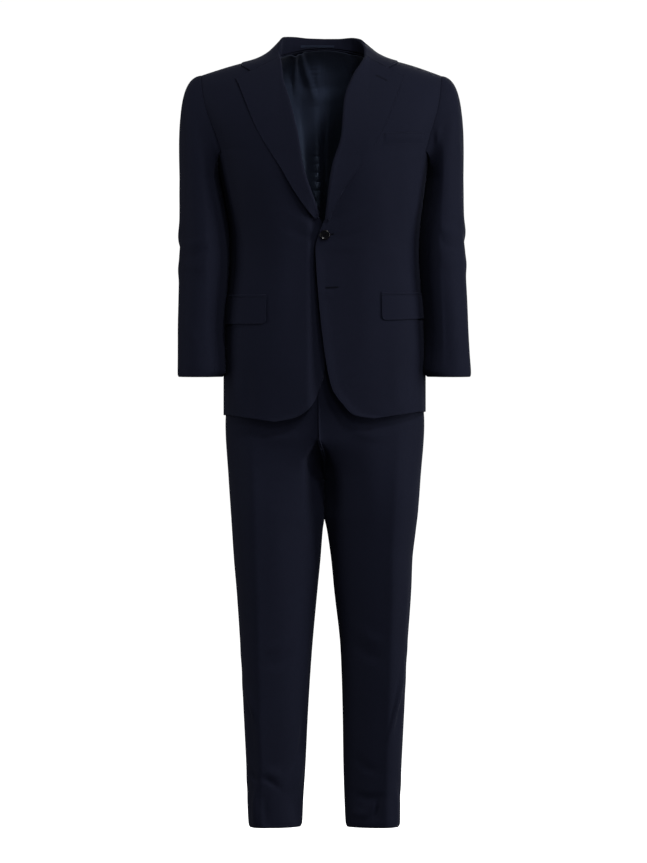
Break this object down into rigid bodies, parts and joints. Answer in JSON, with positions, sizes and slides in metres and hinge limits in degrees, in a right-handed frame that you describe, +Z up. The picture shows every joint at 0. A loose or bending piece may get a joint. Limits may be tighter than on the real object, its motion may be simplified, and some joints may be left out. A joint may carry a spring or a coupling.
{
  "type": "two-piece suit",
  "caption": "Dark navy suit, filled out as if worn: notch-lapel jacket with flap pockets over straight trousers with pressed creases.",
  "frame": {"origin": "middle of the neck opening, level with the tops of the shoulders, where the wearer's shoulders hold the suit up", "axes": "+Z up along the suit, -Y out of its front, +X towards the wearer's left"},
  "size_m": [0.6, 0.2824, 1.6191],
  "materials": {
    "wool": "matte fine wool",
    "satin": "shiny satin lining",
    "horn": "polished dark button"
  },
  "bodies": {
    "root": {"breast_welt": "wool", "collar": "wool", "flap_left": "wool", "flap_right": "wool", "fly_shield": "wool", "jacket_back_left": "wool", "jacket_back_right": "wool", "jacket_front_left": "wool", "jacket_front_right": "wool", "jacket_side_left": "wool", "jacket_side_right": "wool", "jet_left": "wool", "jet_right": "wool", "lapel_left": "wool", "lapel_right": "wool", "top_sleeve_left": "wool", "top_sleeve_right": "wool", "trouser_back_left": "wool", "trouser_back_right": "wool", "trouser_front_left": "wool", "trouser_front_right": "wool", "under_sleeve_left": "wool", "under_sleeve_right": "wool", "waistband_left": "wool", "waistband_right": "wool", "hanger_loop": "satin", "lining_left": "satin", "lining_right": "satin", "button_upper": "horn", "button_lower": "horn"}
  },
  "joints": []
}
